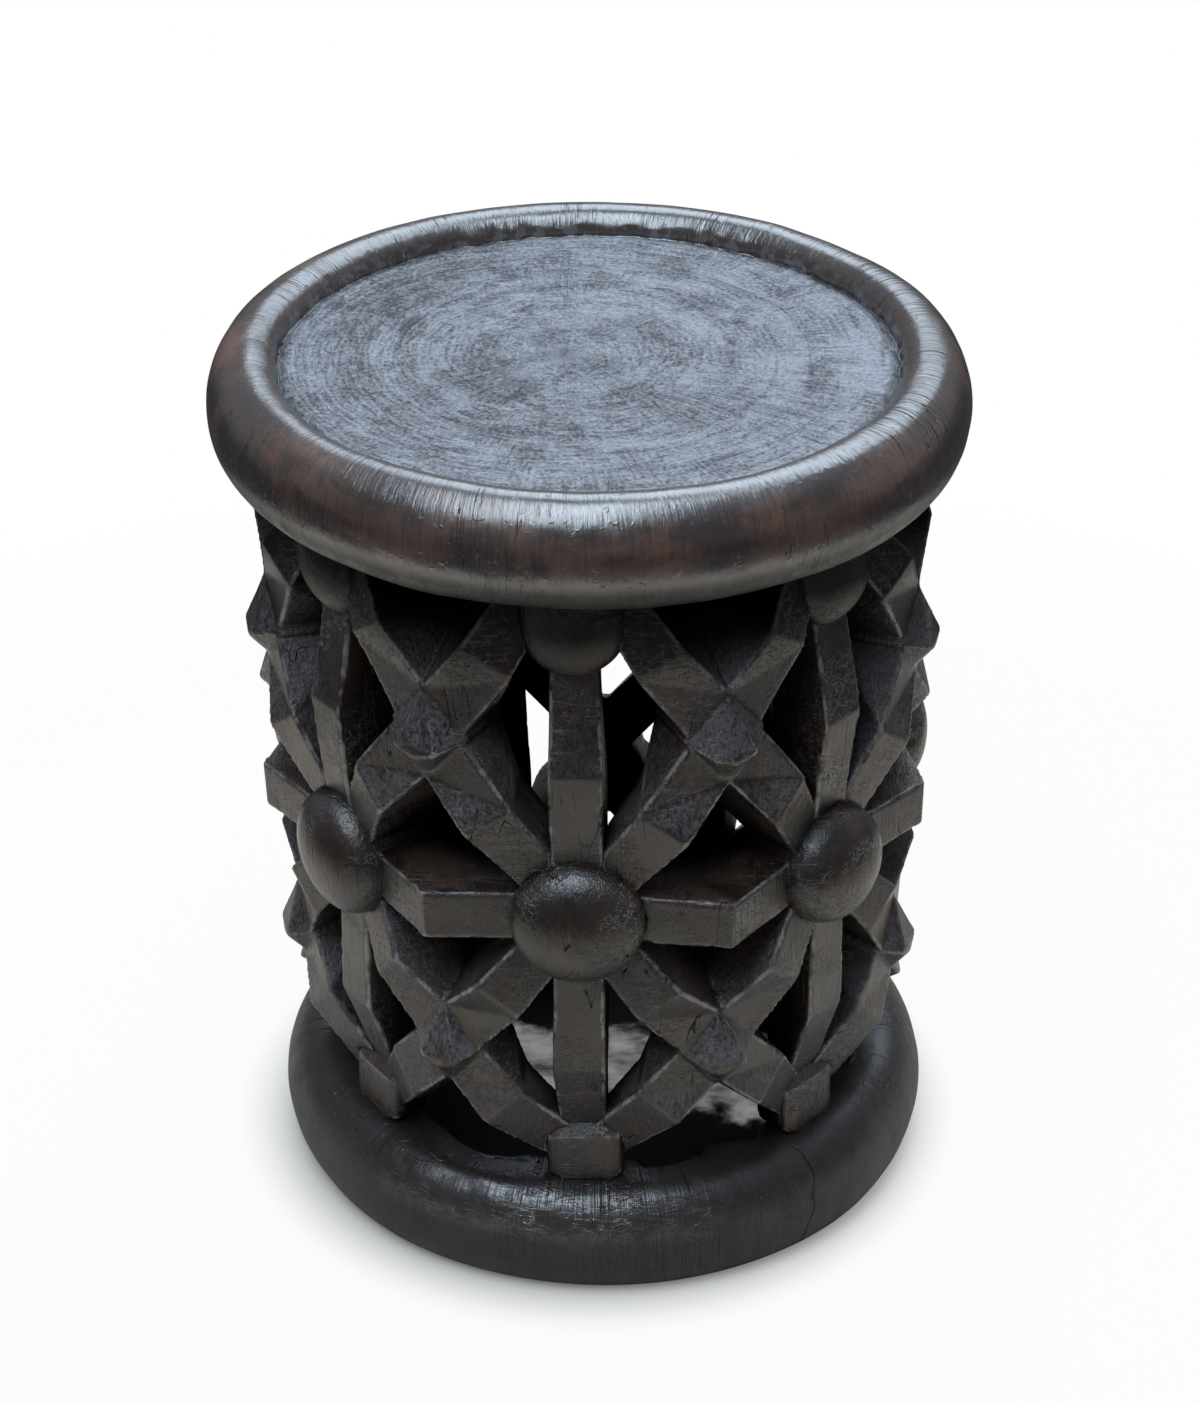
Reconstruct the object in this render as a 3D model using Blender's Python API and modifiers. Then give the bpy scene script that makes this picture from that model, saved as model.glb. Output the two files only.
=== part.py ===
"""Openwork drum stool: a dished seat and an open ring foot joined by a carved lattice of stars.

The drum between seat and foot is a prism with one flat side for each column of the lattice. The
middle of every side carries a domed boss with eight arms: two upright, two level and four slanting.
The slanting arms cross their neighbours in faceted knuckles on the corners of the prism, the level
arms bend there, and a round hollow runs up through the foot and the drum to the seat's underside.

Units are metres and +Z is up. The origin is at the centre of the foot's underside, and the first
column faces -Y. In a side's own frame u runs to the right, z up and n outwards from the axis.
"""

import math

import bmesh
import bpy
from mathutils import Matrix, Vector

# Parting between neighbouring carved pieces
PARTING = 0.0003

# Foot ring
FOOT_WIDTH = 0.045
FOOT_HEIGHT = 0.058
FOOT_CREST_INSET = 0.024
FOOT_BELLY_HEIGHT = 0.028
FOOT_TOE_INSET = 0.014
FOOT_LIP_ROUND = 0.006

# Seat
SEAT_RADIUS = 0.190
SEAT_THICKNESS = 0.057
RIM_CREST_INSET = 0.021
RIM_WIDTH = 0.035
DISH_DEPTH = 0.0115

# Rows of the lattice, measured up from the top of the foot
COLUMNS = 7
BOTTOM_ROW_RISE = 0.008
LOWER_REACH = 0.160
UPPER_REACH = 0.208
TOP_ROW_SINK = 0.024
LOWER_CROSSING_SHARE = 0.52
UPPER_CROSSING_SHARE = 0.495

# Drum: how far the seat reaches past its hollow, and the wall from the hollow out to the sides of
# the prism at each row and to its corners
SEAT_OVERHANG_WIDTH = 0.060
BOTTOM_WALL_DEPTH = 0.012
MIDDLE_WALL_DEPTH = 0.025
TOP_WALL_DEPTH = 0.020
LOWER_CORNER_DEPTH = 0.031
MIDDLE_CORNER_DEPTH = 0.045
UPPER_CORNER_DEPTH = 0.038

# Bosses and foot blocks
BOSS_RADIUS = 0.032
BOSS_DOME = 0.019
BOSS_EDGE = 0.004
TONGUE_RADIUS = 0.025
TONGUE_DOME = 0.012
TONGUE_DROP = 0.021
BLOCK_WIDTH = 0.040
BLOCK_HEIGHT = 0.036
BLOCK_PROUD = 0.007
BLOCK_CHAMFER = 0.009
BLOCK_CORNER = 0.007

# Arms and knuckles
ARM_WIDTH = 0.0255
ARM_ROOT_WIDTH = 0.023
ARM_PEAK = 0.012
UPPER_PEAK_SHARE = 0.53
LOWER_PEAK_SHARE = 0.36
SLANT_PEAK_SHARE = 0.57
SLANT_WIDTH = 0.028
SLANT_ROOT_WIDTH = 0.022
SLANT_PEAK = 0.012
KNUCKLE_WIDTH = 0.042
KNUCKLE_HEIGHT = 0.056
KNUCKLE_RISE = 0.010
KNUCKLE_FACET = 0.022

# Facets on round shapes
RING_STEPS = 56
HOLLOW_STEPS = 42
BOSS_STEPS = 16
ARC_POINTS = 4

# Places that follow from the sizes above
COLUMN_TURN = 2 * math.pi / COLUMNS
HALF_TURN = COLUMN_TURN / 2
HOLLOW_RADIUS = SEAT_RADIUS - SEAT_OVERHANG_WIDTH
FOOT_RADIUS = HOLLOW_RADIUS + FOOT_WIDTH
BOTTOM_SIDE = HOLLOW_RADIUS + BOTTOM_WALL_DEPTH
MIDDLE_SIDE = HOLLOW_RADIUS + MIDDLE_WALL_DEPTH
TOP_SIDE = HOLLOW_RADIUS + TOP_WALL_DEPTH
LOWER_CORNER = HOLLOW_RADIUS + LOWER_CORNER_DEPTH
MIDDLE_CORNER = HOLLOW_RADIUS + MIDDLE_CORNER_DEPTH
UPPER_CORNER = HOLLOW_RADIUS + UPPER_CORNER_DEPTH
BOTTOM_ROW_Z = FOOT_HEIGHT + BOTTOM_ROW_RISE
MIDDLE_ROW_Z = BOTTOM_ROW_Z + LOWER_REACH
TOP_ROW_Z = MIDDLE_ROW_Z + UPPER_REACH
LOWER_CROSSING_Z = MIDDLE_ROW_Z - LOWER_CROSSING_SHARE * LOWER_REACH
UPPER_CROSSING_Z = MIDDLE_ROW_Z + UPPER_CROSSING_SHARE * UPPER_REACH
SEAT_UNDERSIDE_Z = TOP_ROW_Z - TOP_ROW_SINK
SEAT_TOP_Z = SEAT_UNDERSIDE_Z + SEAT_THICKNESS
TONGUE_Z = SEAT_UNDERSIDE_Z - TONGUE_DROP
BLOCK_TOP_Z = FOOT_HEIGHT + BLOCK_HEIGHT
# Arms are first made this deep and are then cut back by the hollow
ROOT_DEPTH_N = 0.7 * HOLLOW_RADIUS


def clear_scene():
    for obj in list(bpy.data.objects):
        bpy.data.objects.remove(obj, do_unlink=True)


def wood(name, colour, roughness):
    """A Principled BSDF for one shade of the stained wood."""
    material = bpy.data.materials.new(name)
    material.use_nodes = True
    shader = material.node_tree.nodes["Principled BSDF"]
    shader.inputs["Base Color"].default_value = (*colour, 1.0)
    shader.inputs["Roughness"].default_value = roughness
    shader.inputs["Metallic"].default_value = 0.0
    return material


def new_collection(name, parent=None):
    collection = bpy.data.collections.new(name)
    (parent or bpy.context.scene.collection).children.link(collection)
    return collection


def helper(name, mesh):
    """A cutter or a blank: an object that is used for shaping and isn't a piece of the stool."""
    obj = bpy.data.objects.new(name, mesh)
    obj.hide_render = True
    obj.display_type = "WIRE"
    CUTTERS.objects.link(obj)
    return obj


def mesh_of(bm, name):
    bmesh.ops.recalc_face_normals(bm, faces=bm.faces)
    mesh = bpy.data.meshes.new(name)
    bm.to_mesh(mesh)
    bm.free()
    return mesh


def evaluated_mesh(obj):
    """The object's mesh with its modifiers applied, in the object's own frame."""
    bpy.context.view_layer.update()
    graph = bpy.context.evaluated_depsgraph_get()
    return bpy.data.meshes.new_from_object(obj.evaluated_get(graph))


def turned_mesh(name, profile, steps, ring=False):
    """A profile of (radius, height) points, from top to bottom on its outer side, turned about Z.

    The profile of a ring is a closed outline that stays clear of the axis.
    """
    mesh = bpy.data.meshes.new(name)
    edges = [(i, i + 1) for i in range(len(profile) - 1)]
    if ring:
        edges.append((len(profile) - 1, 0))
    mesh.from_pydata([(radius, 0.0, height) for radius, height in profile], edges, [])
    blank = helper(name + "_profile", mesh)
    screw = blank.modifiers.new("Turn", "SCREW")
    screw.axis = "Z"
    screw.steps = steps
    screw.render_steps = steps
    screw.use_merge_vertices = True
    screw.merge_threshold = 0.00001
    turned = evaluated_mesh(blank)
    bpy.data.objects.remove(blank, do_unlink=True)
    return turned


def arc(centre, radii, start, end, points=ARC_POINTS):
    """Points of an elliptic arc, angles in degrees, both ends included."""
    angles = [math.radians(start + (end - start) * i / points) for i in range(points + 1)]
    return [(centre[0] + radii[0] * math.cos(a), centre[1] + radii[1] * math.sin(a)) for a in angles]


def carve(name, blank, joins=(), cuts=()):
    """Joins solids to a blank, takes others away, and returns the mesh that is left.

    The Manifold solver is used because the exact one leaves open edges where four slanting arms meet.
    """
    base = helper(name + "_blank", blank)
    tools = []
    for operation, meshes in (("UNION", joins), ("DIFFERENCE", cuts)):
        for mesh in meshes:
            tool = helper(name + "_tool", mesh)
            tools.append(tool)
            boolean = base.modifiers.new(operation.title(), "BOOLEAN")
            boolean.operation = operation
            boolean.solver = "MANIFOLD"
            boolean.object = tool
    carved = evaluated_mesh(base)
    for obj in (base, *tools):
        bpy.data.objects.remove(obj, do_unlink=True)
    return carved


def turned_about_axis(mesh, columns):
    """A copy of a mesh, moved round the stool's axis by that many columns."""
    copy = mesh.copy()
    copy.transform(Matrix.Rotation(columns * COLUMN_TURN, 4, "Z"))
    return copy


# Seat and foot


def seat_mesh(grow=0.0):
    """A thick disc with a rounded rim round a shallow dish."""
    crest = SEAT_RADIUS - RIM_CREST_INSET
    dish_edge = SEAT_RADIUS - RIM_WIDTH
    dish_z = SEAT_TOP_Z - DISH_DEPTH
    half = SEAT_THICKNESS / 2 + grow
    inner = arc((crest, dish_z), (crest - dish_edge, DISH_DEPTH), 180, 90)
    outer = arc((crest, SEAT_UNDERSIDE_Z + half - grow), (RIM_CREST_INSET, half), 90, -90, 3 * ARC_POINTS)
    profile = [(0.0, dish_z), *inner, *outer[1:], (0.0, SEAT_UNDERSIDE_Z - grow)]
    return turned_mesh("seat", profile, RING_STEPS)


def foot_mesh(grow=0.0):
    """An open ring with a round belly, a flat underside and a bore through its middle."""
    crest = FOOT_RADIUS - FOOT_CREST_INSET
    lip_z = FOOT_HEIGHT - FOOT_LIP_ROUND
    bore = HOLLOW_RADIUS - grow
    over = arc(
        (crest, FOOT_BELLY_HEIGHT),
        (FOOT_CREST_INSET + grow, FOOT_HEIGHT - FOOT_BELLY_HEIGHT + grow),
        90,
        0,
        2 * ARC_POINTS,
    )
    toe = FOOT_RADIUS - FOOT_TOE_INSET
    under = arc((toe, FOOT_BELLY_HEIGHT), (FOOT_TOE_INSET + grow, FOOT_BELLY_HEIGHT), 0, -90)
    lip = arc((bore + FOOT_LIP_ROUND, lip_z + grow), (FOOT_LIP_ROUND, FOOT_LIP_ROUND), 180, 90)
    return turned_mesh("foot", [*over, *under[1:], (bore, 0.0), *lip], RING_STEPS, ring=True)


def hollow_mesh():
    """The round space inside the drum, from below the foot to inside the seat."""
    bm = bmesh.new()
    height = SEAT_TOP_Z + FOOT_HEIGHT
    bmesh.ops.create_cone(
        bm,
        cap_ends=True,
        segments=HOLLOW_STEPS,
        radius1=HOLLOW_RADIUS,
        radius2=HOLLOW_RADIUS,
        depth=height,
        matrix=Matrix.Translation((0, 0, height / 2 - FOOT_HEIGHT)),
    )
    return mesh_of(bm, "hollow")


# Bosses, tongues and blocks of the first column


def dome_profile(radius, side_n, dome, grow):
    """A dome on a short edge and a straight shank, as (radius, n) points from the crown down."""
    edge_n = side_n + BOSS_EDGE
    crown = arc((0.0, edge_n), (radius + grow, dome + grow), 90, 0)
    return [(0.0, edge_n + dome + grow), *crown[1:], (radius + grow, ROOT_DEPTH_N), (0.0, ROOT_DEPTH_N)]


def faced_outwards(mesh, z):
    """Lays a shape that was turned about Z on its side, crown towards -Y, at a height on the drum."""
    mesh.transform(Matrix.Translation((0, 0, z)) @ Matrix.Rotation(math.radians(90), 4, "X"))
    return mesh


def boss_blank(grow=0.0):
    profile = dome_profile(BOSS_RADIUS, MIDDLE_SIDE, BOSS_DOME, grow)
    return faced_outwards(turned_mesh("boss", profile, BOSS_STEPS), MIDDLE_ROW_Z)


def tongue_blank(grow=0.0):
    """A narrower boss whose upper half is drawn up to the seat and cut off level with it."""
    profile = dome_profile(TONGUE_RADIUS, TOP_SIDE, TONGUE_DOME, grow)
    mesh = faced_outwards(turned_mesh("tongue", profile, BOSS_STEPS), TONGUE_Z)
    bm = bmesh.new()
    bm.from_mesh(mesh)
    upper = [v for v in bm.verts if v.co.z > TONGUE_Z + PARTING]
    bmesh.ops.translate(bm, verts=upper, vec=(0, 0, TONGUE_DROP))
    top = SEAT_UNDERSIDE_Z - PARTING + grow
    cut = bmesh.ops.bisect_plane(
        bm,
        geom=[*bm.verts, *bm.edges, *bm.faces],
        plane_co=(0, 0, top),
        plane_no=(0, 0, 1),
        clear_outer=True,
    )
    bmesh.ops.edgeloop_fill(bm, edges=[e for e in cut["geom_cut"] if isinstance(e, bmesh.types.BMEdge)])
    return mesh_of(bm, "tongue")


def block_blank(grow=0.0):
    """A block on the foot with rounded front corners and a chamfered brow."""
    bm = bmesh.new()
    front = -(BOTTOM_SIDE + BLOCK_PROUD + grow)
    back = -ROOT_DEPTH_N
    low = FOOT_HEIGHT + PARTING - grow
    high = BLOCK_TOP_Z + grow
    size = (BLOCK_WIDTH + 2 * grow, back - front, high - low)
    place = Matrix.Translation((0, (front + back) / 2, (low + high) / 2)) @ Matrix.Diagonal((*size, 1.0))
    bmesh.ops.create_cube(bm, size=1.0, matrix=place)

    def on_front(edge):
        return all(abs(v.co.y - front) < PARTING / 10 for v in edge.verts)

    def on_top(edge):
        return all(abs(v.co.z - high) < PARTING / 10 for v in edge.verts)

    brow = [e for e in bm.edges if on_front(e) and on_top(e)]
    chamfer = {"affect": "EDGES", "profile": 0.5, "material": -1}
    bmesh.ops.bevel(bm, geom=brow, offset=BLOCK_CHAMFER, segments=1, **chamfer)
    # After the brow is cut, the corners are the upright front edges and the slanting ones above them
    half = size[0] / 2
    corners = [
        e
        for e in bm.edges
        if abs(abs(e.verts[0].co.x) - half) < PARTING / 10
        and abs(e.verts[0].co.x - e.verts[1].co.x) < PARTING / 10
        and any(abs(v.co.y - front) < PARTING / 10 for v in e.verts)
    ]
    bmesh.ops.bevel(bm, geom=corners, offset=BLOCK_CORNER, segments=2, **chamfer)
    return mesh_of(bm, "block")


# Arms: each is a loft through sections along its length


def loft_mesh(name, rings):
    """A closed solid through rings of points, with the first and last ring filled."""
    bm = bmesh.new()
    loops = [[bm.verts.new(point) for point in ring] for ring in rings]
    for near, far in zip(loops, loops[1:]):
        for i in range(len(near)):
            j = (i + 1) % len(near)
            bm.faces.new((near[i], near[j], far[j], far[i]))
    bm.faces.new(loops[0])
    bm.faces.new(loops[-1])
    bmesh.ops.triangulate(bm, faces=bm.faces)
    return mesh_of(bm, name)


def section(place, along, width, front_n, side=0):
    """Four points across an arm on one side of the prism: two front edges and two deep corners.

    place is (u, z), along the arm's direction in that plane, and side the number of columns round.
    """
    across = Vector((-along[1], along[0])).normalized() * (width / 2)
    centre = Vector(place)
    points = []
    for share, n in ((-1, front_n), (1, front_n), (1, ROOT_DEPTH_N), (-1, ROOT_DEPTH_N)):
        spot = centre + across * share
        points.append(Vector((spot.x, -n, spot.y)))
    turn = Matrix.Rotation(side * COLUMN_TURN, 3, "Z")
    return [turn @ point for point in points]


def upright_mesh(name, low, high, peak_share, grow=0.0):
    """An upright arm between two (z, n) ends, standing proud at its peak."""
    peak_z = low[0] + (high[0] - low[0]) * peak_share
    peak_n = low[1] + (high[1] - low[1]) * peak_share + ARM_PEAK
    rings = [
        section((0, z), (0, 1), width + 2 * grow, n + grow)
        for z, n, width in (
            (low[0], low[1], ARM_ROOT_WIDTH),
            (peak_z, peak_n, ARM_WIDTH),
            (high[0], high[1], ARM_ROOT_WIDTH),
        )
    ]
    return loft_mesh(name, rings)


def upper_upright_blank(grow=0.0):
    low_end = (MIDDLE_ROW_Z, MIDDLE_SIDE)
    return upright_mesh("upper_upright", low_end, (TONGUE_Z, TOP_SIDE), UPPER_PEAK_SHARE, grow)


def lower_upright_blank(grow=0.0):
    low_end = (BLOCK_TOP_Z - BLOCK_CHAMFER, BOTTOM_SIDE)
    return upright_mesh("lower_upright", low_end, (MIDDLE_ROW_Z, MIDDLE_SIDE), LOWER_PEAK_SHARE, grow)


def level_arm_blank(grow=0.0):
    """A level arm from the first column's boss to the next, bent where it rounds the corner."""
    corner_u = MIDDLE_CORNER * math.sin(HALF_TURN)
    corner_n = MIDDLE_CORNER * math.cos(HALF_TURN) + grow
    side_n = MIDDLE_SIDE + grow
    width = ARM_WIDTH + 2 * grow
    rings = [
        section((0, MIDDLE_ROW_Z), (1, 0), width, side_n),
        section((corner_u, MIDDLE_ROW_Z), (1, 0), width, corner_n),
        section((0, MIDDLE_ROW_Z), (1, 0), width, side_n, side=1),
    ]
    # The deep corners of the bend are drawn to the plane between the two sides
    bend = Matrix.Rotation(HALF_TURN, 3, "Z") @ Vector((0, -ROOT_DEPTH_N, 0))
    for point in rings[1][2:]:
        point.x, point.y = bend.x, bend.y
    return loft_mesh("level_arm", rings)


def slant_mesh(star_z, star_n, crossing_z, corner, side):
    """Half of a slanting arm, from a star's centre to the crossing, mitred on the prism's corner."""
    sign = 1 - 2 * side
    end_u = corner * math.sin(HALF_TURN)
    end_n = corner * math.cos(HALF_TURN)
    along = Vector((sign * end_u, crossing_z - star_z))
    rings = []
    for share, width, rise in ((0.12, SLANT_ROOT_WIDTH, 0.0), (SLANT_PEAK_SHARE, SLANT_WIDTH, SLANT_PEAK)):
        place = (along.x * share, star_z + along.y * share)
        n = star_n + (end_n - star_n) * share + rise
        rings.append(section(place, along, width, n, side))
    # The mitre runs a little past the corner, so that the two halves overlap and join
    half_z = SLANT_WIDTH / 2 * along.length / end_u
    turn = Matrix.Rotation(side * COLUMN_TURN, 3, "Z")
    mitre = []
    for end, n in ((-sign, end_n), (sign, end_n), (sign, ROOT_DEPTH_N), (-sign, ROOT_DEPTH_N)):
        u = sign * (n * math.tan(HALF_TURN) + PARTING)
        mitre.append(turn @ Vector((u, -n, crossing_z + end * half_z)))
    rings.append(mitre)
    return loft_mesh("slant", rings)


def knuckle_mesh(crossing_z, corner):
    """A faceted lozenge on the corner of the prism with a narrow three-cornered face on its front."""
    half_w, half_h = KNUCKLE_WIDTH / 2, KNUCKLE_HEIGHT / 2
    facet = KNUCKLE_FACET / 2
    base = ((0, half_h), (-half_w, 0), (0, -half_h), (half_w, 0))
    crown = ((0, half_h * 0.85), (-facet, -facet / 2), (0, -facet * 0.9), (facet, -facet / 2))
    crown_n = (corner, *[corner + KNUCKLE_RISE] * 3)
    skirt_n = corner - KNUCKLE_RISE / 2
    rings = [
        [Vector((x, -ROOT_DEPTH_N, crossing_z + z)) for x, z in base],
        [Vector((x, -skirt_n, crossing_z + z)) for x, z in base],
        [Vector((x, -n, crossing_z + z)) for (x, z), n in zip(crown, crown_n)],
    ]
    turn = Matrix.Rotation(HALF_TURN, 3, "Z")
    return loft_mesh("knuckle", [[turn @ point for point in ring] for ring in rings])


def crossing_mesh(name, crossing_z, corner, stars, cuts):
    """A knuckle with the four half arms that meet in it, cut clear of the pieces round it."""
    arms = [slant_mesh(z, n, crossing_z, corner, side) for z, n in stars for side in (0, 1)]
    return carve(name, knuckle_mesh(crossing_z, corner), joins=arms, cuts=cuts)


def lattice_meshes():
    """One mesh for each kind of piece in a column, shaped for the first column."""
    hollow = hollow_mesh()
    bosses = [boss_blank(PARTING), turned_about_axis(boss_blank(PARTING), 1)]
    tongues = [tongue_blank(PARTING), turned_about_axis(tongue_blank(PARTING), 1)]
    blocks = [block_blank(PARTING), turned_about_axis(block_blank(PARTING), 1)]
    uppers = [upper_upright_blank(PARTING), turned_about_axis(upper_upright_blank(PARTING), 1)]
    lowers = [lower_upright_blank(PARTING), turned_about_axis(lower_upright_blank(PARTING), 1)]
    level = level_arm_blank(PARTING)
    foot = foot_mesh(PARTING)
    seat = seat_mesh(PARTING)
    upper_stars = ((MIDDLE_ROW_Z, MIDDLE_SIDE), (TOP_ROW_Z, TOP_SIDE))
    lower_stars = ((MIDDLE_ROW_Z, MIDDLE_SIDE), (BOTTOM_ROW_Z, BOTTOM_SIDE))
    return {
        "boss": carve("boss", boss_blank(), cuts=[hollow]),
        "tongue": carve("tongue", tongue_blank(), cuts=[hollow]),
        "foot_block": carve("foot_block", block_blank(), cuts=[hollow]),
        "upper_upright": carve("upper_upright", upper_upright_blank(), cuts=[hollow, bosses[0], tongues[0]]),
        "lower_upright": carve("lower_upright", lower_upright_blank(), cuts=[hollow, bosses[0], blocks[0]]),
        "level_arm": carve("level_arm", level_arm_blank(), cuts=[hollow, *bosses]),
        "upper_crossing": crossing_mesh(
            "upper_crossing",
            UPPER_CROSSING_Z,
            UPPER_CORNER,
            upper_stars,
            [hollow, seat, *bosses, *tongues, *uppers, level],
        ),
        "lower_crossing": crossing_mesh(
            "lower_crossing",
            LOWER_CROSSING_Z,
            LOWER_CORNER,
            lower_stars,
            [hollow, foot, *bosses, *blocks, *lowers, level],
        ),
    }


def place_piece(name, mesh, material, parent):
    obj = bpy.data.objects.new(name, mesh)
    STOOL.objects.link(obj)
    obj.parent = parent
    mesh.materials.clear()
    mesh.materials.append(material)
    mesh.shade_smooth()
    mesh.set_sharp_from_angle(angle=math.radians(30))
    return obj


def build_stool():
    seat_wood = wood("seat_wood", (0.040, 0.030, 0.027), 0.42)
    lattice_wood = wood("lattice_wood", (0.026, 0.020, 0.018), 0.48)
    foot_wood = wood("foot_wood", (0.032, 0.025, 0.023), 0.45)
    centre = bpy.data.objects.new("stool", None)
    STOOL.objects.link(centre)
    place_piece("seat", seat_mesh(), seat_wood, centre)
    place_piece("foot_ring", foot_mesh(), foot_wood, centre)
    meshes = lattice_meshes()
    for column in range(COLUMNS):
        turn = bpy.data.objects.new(f"column_{column + 1}", None)
        STOOL.objects.link(turn)
        turn.parent = centre
        turn.rotation_euler.z = column * COLUMN_TURN
        for kind, mesh in meshes.items():
            place_piece(f"{kind}_{column + 1}", mesh, lattice_wood, turn)


clear_scene()
STOOL = new_collection("carved_stool")
CUTTERS = new_collection("carving_tools")
build_stool()
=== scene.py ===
"""Carved openwork stool: the worn, hand-cut look of its seat, foot ring and star lattice.

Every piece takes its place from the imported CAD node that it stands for. Lattice pieces are the CAD
shapes rebuilt as an even fine mesh, so that edges can be rounded, nicked and worn. The seat and the
foot are turned from their own profiles. One slow wave and a slight lean run through all of them, as
in a log that was shaped by eye. Units are metres and +Z is up.
"""

import math

import bmesh
import bpy
import numpy as np
from bpy.props import FloatProperty, FloatVectorProperty, IntProperty, PointerProperty
from mathutils import Matrix, Vector


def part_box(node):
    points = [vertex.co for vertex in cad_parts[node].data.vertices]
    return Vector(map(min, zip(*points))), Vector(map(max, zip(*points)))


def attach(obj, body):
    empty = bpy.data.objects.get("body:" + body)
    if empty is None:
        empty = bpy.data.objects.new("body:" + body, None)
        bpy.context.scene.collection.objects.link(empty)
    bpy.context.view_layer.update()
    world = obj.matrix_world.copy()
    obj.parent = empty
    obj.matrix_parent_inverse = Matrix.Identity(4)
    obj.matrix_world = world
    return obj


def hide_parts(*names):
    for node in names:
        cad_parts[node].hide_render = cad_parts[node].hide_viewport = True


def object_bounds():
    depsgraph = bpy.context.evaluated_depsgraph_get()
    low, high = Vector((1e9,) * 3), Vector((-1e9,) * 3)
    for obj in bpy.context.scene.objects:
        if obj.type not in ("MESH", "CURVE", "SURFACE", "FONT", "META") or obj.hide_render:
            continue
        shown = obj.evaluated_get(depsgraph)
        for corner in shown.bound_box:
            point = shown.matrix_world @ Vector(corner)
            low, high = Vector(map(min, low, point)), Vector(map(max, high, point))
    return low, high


bl_info = {
    "name": "Carved Openwork Stool",
    "version": (1, 0, 0),
    "blender": (4, 5, 0),
    "location": "3D View > Sidebar > Stool",
    "description": "Dresses the stool's CAD solids as worn, hand-carved dark wood",
    "category": "Object",
}

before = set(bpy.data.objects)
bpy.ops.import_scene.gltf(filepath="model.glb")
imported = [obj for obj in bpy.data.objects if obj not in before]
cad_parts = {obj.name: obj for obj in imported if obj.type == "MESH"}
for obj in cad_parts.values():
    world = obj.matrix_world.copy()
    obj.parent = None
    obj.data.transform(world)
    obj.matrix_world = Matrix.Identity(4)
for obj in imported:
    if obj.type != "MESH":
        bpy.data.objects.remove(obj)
CAD_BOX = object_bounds()
SEAT_LOW, SEAT_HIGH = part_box("seat")
_, FOOT_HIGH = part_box("foot_ring")
BOSS_LOW, BOSS_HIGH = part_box("boss_1")
TONGUE_LOW, TONGUE_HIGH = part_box("tongue_1")
COLUMNS = sum(name.startswith("boss_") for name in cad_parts)
COLUMN_TURN = 2 * math.pi / COLUMNS
BODY = "root"
# Sideways drift for each metre of height, and the turn of the drum's far side, in radians
LEAN = 0.018
TWIST = 0.036
# Heights between which the drum strays freely, and the size of its waves
DRUM_FOOT = (0.04, 0.09)
DRUM_HEAD = (0.385, 0.415)
WAVE_SIZE = 0.075
# How far a rebuilt lattice piece may lie from its CAD node
PLACE_SLACK = 0.004
# Steps round the axis for the seat and the foot
TURNED_STEPS = 420
# Small marks: dark cracks and painted shade in creases, pores, level tops, chips at the edge of the
# seat's floor, specks
CRACKS_AND_CREASE_SHADE = (0.003, 0.0025, 0.0022)
PORE = (0.006, 0.005, 0.0045)
TOP_BROWN = (0.095, 0.058, 0.042)
CHIP_ON_FLOOR = (0.270, 0.275, 0.295)
CHIP_ON_RIM = (0.150, 0.145, 0.150)
SPECK = (0.22, 0.20, 0.18)


def length(name, description, default, **limits):
    return FloatProperty(
        name=name, description=description, default=default, unit="LENGTH", precision=4, **limits
    )


def power(name, description, default):
    return FloatProperty(name=name, description=description, default=default, unit="POWER")


def angle(name, description, degrees):
    return FloatProperty(
        name=name, description=description, default=math.radians(degrees), subtype="ANGLE"
    )


def shade(name, description, default):
    return FloatVectorProperty(
        name=name, description=description, default=default, subtype="COLOR", size=3, min=0.0, max=1.0
    )


# What a user would change


class SeatSettings(bpy.types.PropertyGroup):
    radius: length("Radius", "From the axis to the widest part of the rim", SEAT_HIGH.x)
    crest_inset: length("Crest inset", "How far the top of the rim lies inside its widest part", 0.021)
    rim_width: length("Rim width", "From the widest part of the rim in to the floor", 0.035)
    dish_depth: length("Dish depth", "From the top of the rim down to the floor", 0.0115)
    groove_depth: length("Groove depth", "Chiselled groove where the floor meets the rim", 0.0014)
    chip_reach: length("Chipping", "How far the edge of the floor is chipped in and out", 0.0016)
    pith: FloatVectorProperty(
        name="Pith",
        description="Heart of the log on the floor",
        default=(-0.017, 0.004),
        size=2,
        unit="LENGTH",
    )
    floor_dark: shade("Floor, dark", "Dark rings of the end grain", (0.066, 0.059, 0.065))
    # Rubbed end grain together with a painted bluish sheen of reflected sky light
    floor_pale_and_sheen: shade("Floor, pale", "Rubbed rings of the end grain", (0.465, 0.483, 0.530))
    rim_colour: shade("Rim", "Stain on the rim", (0.030, 0.0185, 0.0148))
    rub_colour: shade("Rubbed rim", "Bare wood where the stain is worn through", (0.150, 0.066, 0.036))


class FootSettings(bpy.types.PropertyGroup):
    radius: length("Radius", "From the axis to the widest part of the ring", FOOT_HIGH.x)
    bore: length("Bore", "Radius of the opening", 0.130)
    crest_inset: length("Crest inset", "How far the top lies inside the widest part", 0.024)
    toe_inset: length("Toe inset", "How far the underside's edge lies inside the widest part", 0.014)
    belly_height: length("Belly height", "Height of the widest part", 0.028)
    chisel_reach: length("Chiselling", "Depth of the cuts along the inner edge", 0.009)
    colour: shade("Ring", "Stain on the ring", (0.0220, 0.0140, 0.0118))
    scuff_colour: shade("Scuffs", "Dust and scuffs on top of the ring", (0.060, 0.057, 0.060))


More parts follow.
